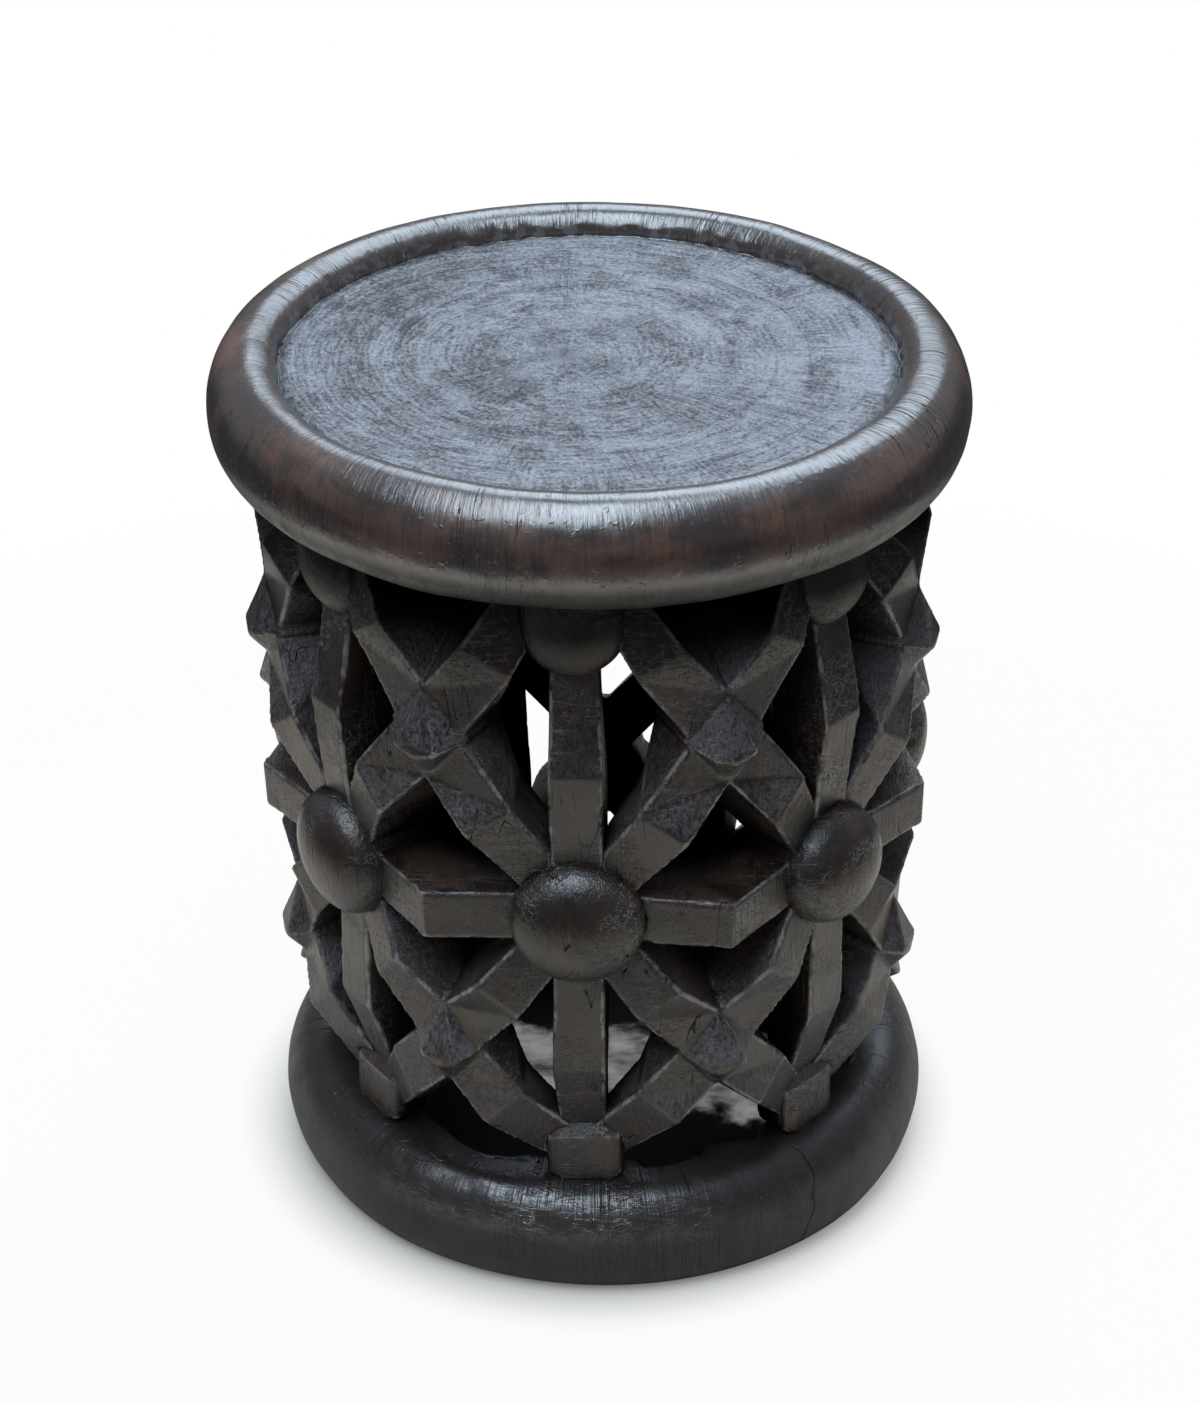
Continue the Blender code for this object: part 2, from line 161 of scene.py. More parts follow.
class LatticeSettings(bpy.types.PropertyGroup):
    mesh_size: length("Mesh size", "Size of a rebuilt piece's even faces", 0.00125, min=0.0008)
    edge_passes: IntProperty(
        name="Edge wear", description="Smoothing passes over carved edges", default=1, min=0
    )
    swell: length("Swell", "Closes the parting between neighbouring pieces", 0.0004)
    wander: length("Wander", "How far pieces stray from a regular pattern", 0.0022)
    tool_depth: length("Tool marks", "Depth of the hollows that the blade left", 0.00035)
    nick_depth: length("Nicks", "Depth of the nicks along edges", 0.0009)
    boss_radius: length("Boss radius", "Radius of a boss at its edge", BOSS_HIGH.x)
    boss_dome: length("Boss dome", "Height of a boss's dome above its edge", 0.019)
    tongue_radius: length("Tongue radius", "Radius of a tongue's round end", TONGUE_HIGH.x)
    tongue_dome: length("Tongue dome", "Height of a tongue's dome above its edge", 0.012)
    dark_colour: shade("Dark stain", "Most of the lattice", (0.0215, 0.0145, 0.0098))
    brown_colour: shade("Brown", "Where the stain is thin", (0.052, 0.0270, 0.0165))
    # Dust together with a painted sheen: the pale violet stands in for sky light reflected by facets
    # that look up
    dust_and_sheen_colour: shade("Dust", "Dull film on facets that look up", (0.150, 0.138, 0.152))
    # Wear together with painted glints: the pale grey stands in for highlights along rounded edges
    worn_edge_and_glint_colour: shade("Worn edges", "Edges that are rubbed bright", (0.330, 0.310, 0.290))


class StageSettings(bpy.types.PropertyGroup):
    floor_colour: shade("Floor", "Pale studio floor", (0.74, 0.71, 0.64))
    under_colour: shade("Floor under the drum", "Floor seen through the lattice", (0.80, 0.78, 0.68))
    far_colour: shade("Floor, far", "Floor out of the light", (0.06, 0.06, 0.064))
    sky_colour: shade("Sky", "Soft light from above", (0.26, 0.31, 0.39))
    front_colour: shade("Horizon in front", "Soft light from the camera's side", (0.125, 0.119, 0.126))
    back_colour: shade("Horizon behind", "Soft light from the far side", (0.31, 0.30, 0.32))
    sky_strength: FloatProperty(name="Sky strength", description="Level of the soft light", default=1.0)
    key_power: power("Key", "Power of the long soft box overhead", 37.0)
    back_power: power("Back", "Power of the broad soft box behind", 31.0)
    elevation: angle("Elevation", "Camera above the floor", 31.33)
    azimuth: angle("Azimuth", "Camera to the right of the front", 3.5)
    distance: length("Distance", "Camera to the point that it looks at", 1.9076)
    aim_height: length("Aim", "Height of the point that the camera looks at", 0.2335)


# Shared shaping


def piece_from(mesh, name, nodes, material):
    """Puts a finished mesh in the scene in place of its CAD nodes."""
    mesh.name = name
    mesh.materials.clear()
    mesh.materials.append(material)
    mesh.shade_smooth()
    obj = bpy.data.objects.new(name, mesh)
    bpy.context.scene.collection.objects.link(obj)
    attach(obj, BODY)
    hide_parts(*nodes)
    return obj


def mesh_from(bm, name):
    mesh = bpy.data.meshes.new(name)
    bm.to_mesh(mesh)
    bm.free()
    return mesh


def places(mesh):
    spots = np.empty(len(mesh.vertices) * 3)
    mesh.vertices.foreach_get("co", spots)
    return spots.reshape(-1, 3)


def facings(mesh):
    normals = np.empty(len(mesh.vertices) * 3)
    mesh.vertices.foreach_get("normal", normals)
    return normals.reshape(-1, 3)


def put_places(mesh, spots):
    mesh.vertices.foreach_set("co", spots.astype(np.float32).ravel())
    mesh.update()


def put_values(mesh, name, values):
    layer = mesh.attributes.new(name, "FLOAT", "POINT")
    layer.data.foreach_set("value", values.astype(np.float32))


def smooth_step(values, low, high):
    share = np.clip((values - low) / (high - low), 0.0, 1.0)
    return share * share * (3 - 2 * share)


def lumps(spots, size, seed):
    """Smooth noise from -1 to 1 at each spot, with lumps of about that size."""
    at = spots / size + seed * 17.13
    cell = np.floor(at).astype(np.int64)
    share = at - cell
    share = share * share * (3 - 2 * share)
    total = np.zeros(len(spots))
    for corner in range(8):
        step = np.array([corner & 1, corner >> 1 & 1, corner >> 2 & 1])
        key = (cell + step) @ np.array([73856093, 19349663, 83492791])
        key = (key ^ (key >> 13)) * 1274126177
        level = ((key ^ (key >> 16)) & 65535) / 32767.5 - 1
        total += level * np.prod(np.where(step == 1, share, 1 - share), axis=1)
    return total


def wandered(spots, reach):
    """The spots moved by the slow waves and the lean that run through the whole log."""
    height = spots[:, 2]
    in_drum = smooth_step(height, *DRUM_FOOT) * (1 - smooth_step(height, *DRUM_HEAD))
    moved = spots.copy()
    for axis, share in ((0, 1.0), (1, 1.0), (2, 0.8)):
        stray = 0.35 + 0.65 * in_drum if axis < 2 else in_drum
        moved[:, axis] += reach * share * stray * lumps(spots, WAVE_SIZE, 3 + axis)
    middle = (CAD_BOX[0].z + CAD_BOX[1].z) / 2
    moved[:, 0] -= LEAN * (height - middle)
    behind = np.clip(0.5 + moved[:, 1] / 0.34, 0, 1) * in_drum
    moved[:, 0] -= TWIST * moved[:, 1] * behind
    moved[:, 1] += TWIST * moved[:, 0] * behind
    return moved


def ridges(mesh):
    """How much each vertex stands out as an edge, up to 1, or lies in a crease, down to -1."""
    spots, normals = places(mesh), facings(mesh)
    ends = np.empty(len(mesh.edges) * 2, np.int64)
    mesh.edges.foreach_get("vertices", ends)
    first, second = ends.reshape(-1, 2).T
    run = spots[second] - spots[first]
    run /= np.linalg.norm(run, axis=1)[:, None] + 1e-12
    count = np.bincount(ends, minlength=len(spots)) + 1e-9
    bend = np.bincount(first, -(run * normals[first]).sum(1), len(spots))
    bend += np.bincount(second, (run * normals[second]).sum(1), len(spots))
    return np.clip(bend / count / 0.22, -1, 1)


def even_mesh(mesh, name, settings):
    """The shape of a closed mesh rebuilt with even faces and slightly rounded edges."""
    blank = bpy.data.objects.new(name, mesh)
    bpy.context.scene.collection.objects.link(blank)
    rebuild = blank.modifiers.new("Even faces", "REMESH")
    rebuild.mode = "VOXEL"
    rebuild.voxel_size = settings.mesh_size * 1
    bpy.context.view_layer.update()
    graph = bpy.context.evaluated_depsgraph_get()
    even = bpy.data.meshes.new_from_object(blank.evaluated_get(graph))
    bpy.data.objects.remove(blank)
    bm = bmesh.new()
    bm.from_mesh(even)
    for _ in range(settings.edge_passes):
        bmesh.ops.smooth_vert(
            bm, verts=bm.verts, factor=0.5, use_axis_x=True, use_axis_y=True, use_axis_z=True
        )
    bm.to_mesh(even)
    bm.free()
    return even


def turned(profile, steps, name):
    """A profile of (radius, height) points turned about the axis."""
    bm = bmesh.new()
    line = [bm.verts.new((radius, 0.0, height)) for radius, height in profile]
    runs = [bm.edges.new(pair) for pair in zip(line, line[1:])]
    bmesh.ops.spin(
        bm,
        geom=[*line, *runs],
        cent=(0, 0, 0),
        axis=(0, 0, 1),
        angle=2 * math.pi,
        steps=steps,
        use_merge=True,
        use_normal_flip=False,
        use_duplicate=False,
    )
    bmesh.ops.remove_doubles(bm, verts=bm.verts, dist=1e-6)
    bmesh.ops.recalc_face_normals(bm, faces=bm.faces)
    return mesh_from(bm, name)


def bow(centre, radii, start, end, points):
    """Points of an elliptic arc, angles in degrees, both ends included."""
    angles = [math.radians(start + (end - start) * i / points) for i in range(points + 1)]
    return [(centre[0] + radii[0] * math.cos(a), centre[1] + radii[1] * math.sin(a)) for a in angles]


def run_of(start, end, points):
    """Points along a straight line, its first end left out."""
    return [
        tuple(a + (b - a) * (i + 1) / points for a, b in zip(start, end))
        for i in range(points)
    ]


# Lattice pieces


def cad_blank(node):
    """A merged copy of a CAD node's mesh."""
    bm = bmesh.new()
    bm.from_mesh(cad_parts[node].data)
    bmesh.ops.remove_doubles(bm, verts=bm.verts, dist=1e-5)
    return mesh_from(bm, node + "_blank")


def domed_blank(name, radius, dome, low, high):
    """A round dome on a straight shank, lying on its side with its crown towards -Y."""
    crown, back = -low.y, -high.y
    edge = crown - dome
    profile = bow((0.0, edge), (radius, dome), 90, 0, 20)
    profile = [(0.0, crown), *profile[1:], *run_of((radius, edge), (radius, back), 6), (0.0, back)]
    mesh = turned(profile, 64, name)
    mesh.transform(Matrix.Rotation(math.radians(90), 4, "X"))
    return mesh


def boss_blank(settings):
    mesh = domed_blank("boss_blank", settings.boss_radius, settings.boss_dome, BOSS_LOW, BOSS_HIGH)
    mesh.transform(Matrix.Translation((0, 0, (BOSS_LOW.z + BOSS_HIGH.z) / 2)))
    return mesh


def tongue_blank(settings):
    """A narrow boss whose upper half is drawn up to the seat."""
    radius = settings.tongue_radius
    mesh = domed_blank("tongue_blank", radius, settings.tongue_dome, TONGUE_LOW, TONGUE_HIGH)
    bm = bmesh.new()
    bm.from_mesh(mesh)
    rise = TONGUE_HIGH.z - TONGUE_LOW.z
    bmesh.ops.translate(bm, verts=[v for v in bm.verts if v.co.z > 1e-5], vec=(0, 0, rise))
    whole = [*bm.verts, *bm.edges, *bm.faces]
    cut = bmesh.ops.bisect_plane(
        bm, geom=whole, plane_co=(0, 0, rise - radius), plane_no=(0, 0, 1), clear_outer=True
    )
    rim = [part for part in cut["geom_cut"] if isinstance(part, bmesh.types.BMEdge)]
    bmesh.ops.edgeloop_fill(bm, edges=rim)
    bmesh.ops.translate(bm, verts=bm.verts, vec=(0, 0, TONGUE_LOW.z + radius))
    return mesh_from(bm, "tongue_blank")


def shadowed(spots, out):
    """How much painted shade each spot gets: inside the drum, under the seat or deep in a window."""
    radius = np.hypot(spots[:, 0], spots[:, 1])
    inwards = -(spots[:, :2] * out[:, :2]).sum(1) / radius
    inside = np.maximum(1 - smooth_step(radius, 0.129, 0.147), smooth_step(inwards, 0.15, 0.6))
    under_seat = smooth_step(spots[:, 2], 0.352, 0.388)
    sideways = smooth_step(inwards, -0.75, -0.25)
    inside = np.maximum(inside, under_seat * (0.6 + 0.4 * sideways))
    not_level = 1 - smooth_step(out[:, 2], 0.3, 0.7)
    deep = sideways * (1 - smooth_step(radius, 0.138, 0.162)) * not_level
    return np.maximum(inside, 0.8 * deep)


def carve_lattice(context, kind, blank):
    """Makes every column's piece of one kind from the shape of the first column's."""
    settings = context.scene.stool_lattice
    material = lattice_finish(settings)
    master = even_mesh(blank, kind + "_even", settings)
    spots, normals, edge = places(master), facings(master), ridges(master)
    for column in range(COLUMNS):
        turn = np.array(Matrix.Rotation(column * COLUMN_TURN, 3, "Z"))
        here, out = spots @ turn.T, normals @ turn.T
        node = f"{kind}_{column + 1}"
        low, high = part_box(node)
        off = max(np.abs(here.min(0) - low).max(), np.abs(here.max(0) - high).max())
        if off > PLACE_SLACK:
            raise RuntimeError(f"{node} isn't where the CAD has it")
        blade = 0.62 * lumps(here, 0.024, 21) + 0.38 * lumps(here * (1, 1, 0.6), 0.0095, 22)
        nick = smooth_step(lumps(here, 0.0065, 23) + 0.35 * lumps(here, 0.019, 24), 0.42, 0.95)
        nick *= smooth_step(edge, 0.25, 0.8)
        lift = settings.swell + settings.tool_depth * blade - settings.nick_depth * nick
        mesh = master.copy()
        put_places(mesh, wandered(here + out * lift[:, None], settings.wander))
        put_values(mesh, "edge", edge * (1 - 0.6 * nick))
        # share of painted shade, mixed in by lattice_finish as a near-black matte surface
        put_values(mesh, "inside", shadowed(here, out))
        put_values(mesh, "upward", out[:, 2] * (kind not in ("boss", "tongue")))
        put_values(mesh, "polish", smooth_step(out[:, 2], 0.05, 0.5) * (kind == "boss"))
        piece_from(mesh, f"carved_{node}", [node], material)


# Shader arithmetic


class Wire:
    """A socket's value in a Python expression: each operation adds the Math node that does it."""

    def __init__(self, finish, socket):
        self.finish = finish
        self.socket = socket

    def maths(self, operation, first, second):
        return self.finish.node("ShaderNodeMath", {"operation": operation}, {0: first, 1: second})

    def __add__(self, other):
        return self.maths("ADD", self, other)

    def __sub__(self, other):
        return self.maths("SUBTRACT", self, other)

    def __rsub__(self, other):
        return self.maths("SUBTRACT", other, self)

    def __mul__(self, other):
        return self.maths("MULTIPLY", self, other)

    def __abs__(self):
        return self.maths("ABSOLUTE", self, 0.0)

    __radd__ = __add__
    __rmul__ = __mul__


class Finish:
    """A node tree that is being wired up."""

    def __init__(self, owner):
        self.owner = owner
        owner.use_nodes = True
        self.tree = owner.node_tree

    def feed(self, socket, value):
        if isinstance(value, Wire):
            self.tree.links.new(value.socket, socket)
        else:
            socket.default_value = value

    def node(self, kind, settings=(), sockets=(), out=0):
        made = self.tree.nodes.new(kind)
        for name, value in dict(settings).items():
            setattr(made, name, value)
        for name, value in dict(sockets).items():
            self.feed(made.inputs[name], value)
        return Wire(self, made.outputs[out])

    def place(self):
        return self.node("ShaderNodeTexCoord", out="Object")

    def mapped(self, vector, scale=(1, 1, 1), turn=(0, 0, 0), shift=(0, 0, 0)):
        sockets = {"Vector": vector, "Scale": scale, "Rotation": turn, "Location": shift}
        return self.node("ShaderNodeMapping", {}, sockets)

    def size(self, vector):
        return self.node("ShaderNodeVectorMath", {"operation": "LENGTH"}, {0: vector}, out="Value")

    def aimed(self, x, y):
        """The two parts of the level direction from the axis."""
        flat = self.joined(x, y, 0.0)
        aim = self.node("ShaderNodeVectorMath", {"operation": "NORMALIZE"}, {0: flat})
        return self.part(aim, "X"), self.part(aim, "Y")

    def part(self, vector, axis):
        return self.node("ShaderNodeSeparateXYZ", {}, {0: vector}, out=axis)

    def joined(self, x, y, z):
        return self.node("ShaderNodeCombineXYZ", {}, {0: x, 1: y, 2: z})

    def noise(self, vector, scale, detail=2.0, rough=0.5, warp=0.0):
        sockets = {"Vector": vector, "Scale": scale, "Detail": detail}
        sockets.update({"Roughness": rough, "Distortion": warp})
        return self.node("ShaderNodeTexNoise", {}, sockets)

    def step(self, value, low, high, out_low=0.0, out_high=1.0):
        """A smooth step of a value between two levels."""
        return self.node(
            "ShaderNodeMapRange",
            {"interpolation_type": "SMOOTHSTEP"},
            {0: value, 1: low, 2: high, 3: out_low, 4: out_high},
        )

    def line(self, value, level, width):
        """A thin line where a value passes a level: 1 on the line and 0 away from it."""
        return self.step(abs(value - level), 0.0, width, 1.0, 0.0)

    def mix(self, share, first, second):
        def colour(value):
            return value if isinstance(value, Wire) else (*value, 1.0)

        return self.node(
            "ShaderNodeMix",
            {"data_type": "RGBA"},
            {0: share, 6: colour(first), 7: colour(second)},
            out=2,
        )

    def value(self, name):
        return self.node("ShaderNodeAttribute", {"attribute_name": name}, out="Fac")

    def bump(self, height, distance):
        sockets = {"Height": height, "Distance": distance, "Strength": 1.0}
        return self.node("ShaderNodeBump", {}, sockets)

    def shader(self, colour, roughness, normal, ior):
        principled = self.tree.nodes["Principled BSDF"]
        principled.inputs["IOR"].default_value = ior
        self.feed(principled.inputs["Base Color"], colour)
        self.feed(principled.inputs["Roughness"], roughness)
        self.feed(principled.inputs["Normal"], normal)

    def second(self, share, sockets):
        """Mixes in a second surface over part of the piece."""
        surface = self.tree.nodes["Material Output"].inputs["Surface"]
        first = Wire(self, surface.links[0].from_socket)
        other = self.node("ShaderNodeBsdfPrincipled", {}, sockets)
        self.feed(surface, self.node("ShaderNodeMixShader", {}, {0: share, 1: first, 2: other}))
        return self.owner


def finish_named(name):
    """The material of that name and whether it is still to be wired up."""
    found = bpy.data.materials.get(name)
    return (found, False) if found else (bpy.data.materials.new(name), True)


def lattice_finish(settings):
    """Dark stained wood: upright grain, blade scratches, dust with a painted sheen on upper facets,
    edges rubbed bright with painted glints, and painted shade in creases, inside the drum, under the
    seat and deep in windows.
    """
    material, is_new = finish_named("carved_lattice_wood")
    if not is_new:
        return material
    f = Finish(material)
    place = f.place()
    edge, inside = f.value("edge"), f.value("inside")
    upward, polish = f.value("upward"), f.value("polish")
    grain = f.noise(f.mapped(place, (1.0, 1.0, 0.085)), 420, 4, 0.62)
    cloud = f.noise(place, 26, 3, 0.55)
    fibre = f.noise(f.mapped(place, (1.0, 1.0, 0.3)), 900, 3, 0.6)
    speckle = f.noise(f.mapped(place, (1, 1, 0.5)), 560, 4, 0.75)
    patch = f.noise(f.mapped(place, (1, 1, 0.6)), 47, 4, 0.6, 0.6)
    one_way = f.mapped(place, (1, 0.09, 1), (0.5, 0.3, 0.9))
    other_way = f.mapped(place, (0.07, 1, 1), (-0.4, 0.7, 0.2))
    scratches = f.line(f.noise(one_way, 190, 3, 0.6), 0.5, 0.022)
    scratches = scratches + f.line(f.noise(other_way, 160, 3, 0.6), 0.52, 0.02)
    scratches = scratches * f.step(cloud, 0.42, 0.66)
    split = f.line(f.noise(f.mapped(place, (1, 1, 0.11)), 62, 2, 0.5), 0.5, 0.006)
    split = split * f.step(f.noise(place, 33, 1), 0.56, 0.64)
    brown = f.step(patch, 0.44, 0.66) * 0.8 + f.step(grain, 0.5, 0.8) * 0.25
    colour = f.mix(brown, tuple(settings.dark_colour), tuple(settings.brown_colour))
    top = f.step(upward, 0.50, 0.85) * f.step(patch, 0.38, 0.60)
    colour = f.mix(top * 0.8, colour, TOP_BROWN)
    # dust together with a painted sheen on facets that look up
    dust_and_sheen = f.step(upward, 0.10, 0.34) * f.step(upward, 0.8, 0.5) * f.step(patch, 0.72, 0.46)
    dust_and_sheen = dust_and_sheen * f.step(speckle + (cloud - 0.5) * 0.5, 0.30, 0.64)
    colour = f.mix(dust_and_sheen * 0.9, colour, tuple(settings.dust_and_sheen_colour))
    colour = f.mix(f.step(speckle, 0.50, 0.36) * 0.55, colour, PORE)
    # edges rubbed bright, with a painted highlight along them
    rub_and_glint = f.step(edge, 0.24, 0.60) * f.step(f.noise(place, 85, 3), 0.38, 0.58)
    colour = f.mix(rub_and_glint * 0.85, colour, tuple(settings.worn_edge_and_glint_colour))
    colour = f.mix(scratches * 0.34, colour, tuple(settings.worn_edge_and_glint_colour))
    # painted shade darkens the creases; split adds real dark cracks
    crease_shade = f.step(edge, -0.15, -0.6)
    colour = f.mix(f.step(crease_shade + split, 0.0, 1.0) * 0.8, colour, CRACKS_AND_CREASE_SHADE)
    roughness = 0.32 + 0.26 * (f.noise(place, 60, 3) - 0.5) + 0.16 * (fibre - 0.5) - rub_and_glint * 0.10
    roughness = roughness + crease_shade * 0.2 + dust_and_sheen * 0.16
    height = grain * 0.6 + fibre * 0.2 + speckle * 0.25 + cloud * 0.9 - split * 1.8 - scratches * 0.4
    bump = f.bump(height, 0.0009)
    f.shader(colour, roughness, bump, 1.68)
    shiny = {"Base Color": colour, "Roughness": 0.27, "Normal": bump, "IOR": 2.2}
    f.second(polish * f.step(cloud + (speckle - 0.5) * 0.25, 0.30, 0.56), shiny)
    # painted shade: a near-black matte surface mixed in inside the drum, under the seat and deep in
    # windows
    painted_shade = {"Base Color": (0.0022, 0.0021, 0.0022, 1.0), "Roughness": 0.9, "Specular IOR Level": 0.08}
    return f.second(inside, painted_shade)


# Seat


def seat_profile(settings):
    """From the middle of the floor out over the rim and back in along the underside."""
    top = SEAT_HIGH.z
    half = (SEAT_HIGH.z - SEAT_LOW.z) / 2
    floor_z = top - settings.dish_depth
    crest = settings.radius - settings.crest_inset
    edge = settings.radius - settings.rim_width
    lip = (edge - 0.0035, floor_z)
    groove = (edge - 0.0012, floor_z - settings.groove_depth)
    profile = [(0.0, floor_z), *run_of((0.0, floor_z), lip, 44)]
    profile += [*run_of(lip, groove, 4), *run_of(groove, (edge, floor_z - settings.groove_depth), 2)]
    drop = settings.dish_depth + settings.groove_depth
    profile += bow((crest, top - drop), (crest - edge, drop), 180, 90, 22)[1:]
    profile += bow((crest, SEAT_LOW.z + half), (settings.crest_inset, half), 90, -90, 44)[1:]
    profile += run_of(profile[-1], (0.0, SEAT_LOW.z), 22)
    return profile


def hacked(turn, knots, seed, steepness=1.0):
    """Uneven cuts round a ring, from -1 to 1, at each angle."""
    rng = np.random.default_rng(seed)
    angles = np.sort(rng.uniform(-math.pi, math.pi, knots))
    levels = rng.uniform(-1, 1, knots)
    cuts = np.interp(turn, angles, levels, period=2 * math.pi)
    return np.tanh(steepness * cuts) / math.tanh(steepness)


def carve_seat(context):
    settings = context.scene.stool_seat
    mesh = turned(seat_profile(settings), TURNED_STEPS, "carved_seat")
    spots = places(mesh)
    turn = np.arctan2(spots[:, 1], spots[:, 0])
    radius = np.hypot(spots[:, 0], spots[:, 1])
    floor_z = SEAT_HIGH.z - settings.dish_depth
    edge = settings.radius - settings.rim_width
    upper = spots[:, 2] > floor_z - 2 * settings.groove_depth
    near = np.exp(-(((radius - edge + 0.002) / 0.0055) ** 2)) * upper
    chips = 0.7 * hacked(turn, 260, 5) + 0.3 * hacked(turn, 70, 6)
    shift = settings.chip_reach * chips * near
    moved = spots.copy()
    moved[:, :2] *= ((radius + shift) / np.maximum(radius, 1e-6))[:, None]
    on_floor = upper * (1 - smooth_step(radius, edge - 0.003, edge + 0.002))
    dents = 0.00055 * lumps(spots, 0.034, 31) + 0.00028 * lumps(spots, 0.010, 32)
    moved[:, 2] += dents * on_floor + 0.0006 * lumps(spots, 0.0035, 33) * near
    rim = 1 - on_floor
    out = facings(mesh)
    wave = 0.0006 * lumps(spots, 0.05, 34) + 0.0002 * lumps(spots, 0.014, 35)
    moved += out * (wave * rim)[:, None]
    put_places(mesh, wandered(moved, context.scene.stool_lattice.wander))
    put_values(mesh, "floor_share", on_floor)
    put_values(mesh, "floor_edge", near)
    piece_from(mesh, "carved_seat", ["seat"], seat_finish(settings))


def seat_finish(settings):
    """Rubbed end grain on the floor with a painted bluish sheen, brighter to the right and back, and
    polished dark stain on the rim, whose underside has painted shade.
    """
    material, is_new = finish_named("carved_seat_wood")
    if not is_new:
        return material
    f = Finish(material)
    place = f.place()
    floor = f.step(f.value("floor_share"), 0.25, 0.75)
    lip = f.value("floor_edge")
    heart = f.mapped(place, shift=(-settings.pith[0], -settings.pith[1], 0.0))
    x, y, z = f.part(heart, "X"), f.part(heart, "Y"), f.part(place, "Z")
    reach = f.size(f.joined(x, y, 0.0))
    aim_x, aim_y = f.aimed(x, y)
    warped = reach + (f.noise(place, 9, 2) - 0.5) * 0.011
    bands = f.noise(f.joined(warped * 46.0, aim_x * 0.6, aim_y * 0.6), 1.0, 3, 0.6)
    rings = f.noise(f.joined(warped * 480.0, aim_x * 6.0, aim_y * 6.0), 1.0, 3, 0.6)
    rays = f.noise(f.joined(reach * 46.0, aim_x * 62.0, aim_y * 62.0), 1.0, 3, 0.6)
    hatched = f.step(f.noise(place, 13, 3) + x * 0.9, 0.50, 0.70)
    strokes = rings + (rays - rings) * hatched
    pores = f.noise(place, 470, 4, 0.72)
    # blotches in the floor's paleness, part of its painted sheen
    dust_and_sheen = f.noise(place, 38, 5, 0.68)
    mottle = f.step(f.noise(f.mapped(place, (1, 1, 0)), 115, 4, 0.7), 0.44, 0.64)
    year = f.line(f.noise(f.joined(warped * 30.0, aim_x * 0.4, aim_y * 0.4), 1.0, 1), 0.5, 0.022)
    checks = f.noise(f.joined(reach * 10.0, aim_x * 34.0, aim_y * 34.0), 1.0, 3, 0.6)
    checks = f.line(checks, 0.5, 0.010) * f.step(f.noise(place, 26, 2), 0.50, 0.64)
    star = f.step(reach, 0.004, 0.026, 1.0, 0.0)
    # paleness of the end grain with a painted sheen: pale and bluish overall, and brighter towards +X
    # and +Y by a painted ramp
    pale = f.step(bands, 0.34, 0.66) * 0.34 + f.step(strokes, 0.38, 0.62) * 0.40
    pale = pale + f.step(dust_and_sheen, 0.36, 0.62) * 0.30
    pale = pale + (f.step(pores, 0.38, 0.62) - 0.5) * 0.6 + (mottle - 0.5) * 0.22 - year * 0.2
    pale = pale + star * (0.90 - rays) * 0.8 + x * 1.1 + y * 0.7 + 0.04
    floor_colour = f.mix(pale, tuple(settings.floor_dark), tuple(settings.floor_pale_and_sheen))
    floor_colour = f.mix(checks * 0.4, floor_colour, (0.012, 0.011, 0.011))
    side = f.joined(aim_x * 58.0, aim_y * 58.0, z * 16.0)
    hairs = f.noise(side, 1.0, 2, 0.5)
    hair = f.line(hairs, 0.5, 0.012) * f.step(f.noise(place, 17, 2), 0.50, 0.60)
    hair = hair * f.step(z, SEAT_LOW.z + 0.020, SEAT_LOW.z + 0.036, 0.25, 1.0)
    grain = f.noise(f.joined(aim_x * 90.0, aim_y * 90.0, z * 60.0), 1.0, 4, 0.65)
    rubbed = f.noise(f.mapped(place, (1, 1, 1.7)), 19, 4, 0.62, 0.4)
    from_axis = f.size(f.mapped(place, (1, 1, 0)))
    side_band = f.step(z, SEAT_LOW.z + 0.016, SEAT_LOW.z + 0.030) * f.step(from_axis, 0.170, 0.182)
    bare = f.step(rubbed + (grain - 0.5) * 0.3, 0.40, 0.72) * side_band
    rim_colour = f.mix(bare * 0.95, tuple(settings.rim_colour), tuple(settings.rub_colour))
    pitted = f.step(f.noise(place, 210, 3), 0.60, 0.74)
    rim_colour = f.mix(pitted * 0.35, rim_colour, (0.055, 0.045, 0.040))
    rim_colour = f.mix(hair * 0.75, rim_colour, (0.004, 0.0032, 0.003))
    # painted shade on the underside of the rim: darker colour, rougher and a weaker reflection
    under = f.step(z, SEAT_LOW.z + 0.026, SEAT_LOW.z + 0.010)
    rim_colour = f.mix(under * 0.7, rim_colour, (0.012, 0.0105, 0.0092))
    chipped = f.step(lip, 0.40, 0.85) * f.step(f.noise(place, 150, 3), 0.50, 0.58)
    floor_colour = f.mix(f.step(lip, 0.55, 0.95) * 0.6, floor_colour, (0.020, 0.018, 0.018))
    floor_colour = f.mix(chipped * 0.7, floor_colour, CHIP_ON_FLOOR)
    rim_colour = f.mix(chipped * 0.6, rim_colour, CHIP_ON_RIM)
    rim_rough = 0.25 + (f.noise(place, 45, 3) - 0.5) * 0.2 + bare * 0.12 + under * 0.16
    rim_height = grain * 0.3 + f.noise(place, 55, 3) * 0.45 + pitted * 0.1 - hair * 1.2
    f.shader(rim_colour, rim_rough, f.bump(rim_height, 0.0013), 2.5)
    floor_rough = 0.33 + (dust_and_sheen - 0.5) * 0.3 - mottle * 0.12 + (1 - floor) * 0.2
    floor_height = strokes * 1.9 + pores * 1.2 + dust_and_sheen * 1.5 + mottle * 0.35 + star * rays * 0.6
    floor_height = floor_height - checks * 0.5 - year * 0.3
    floor_bump = f.bump(floor * floor_height + (1 - floor) * rim_height, 0.0013)
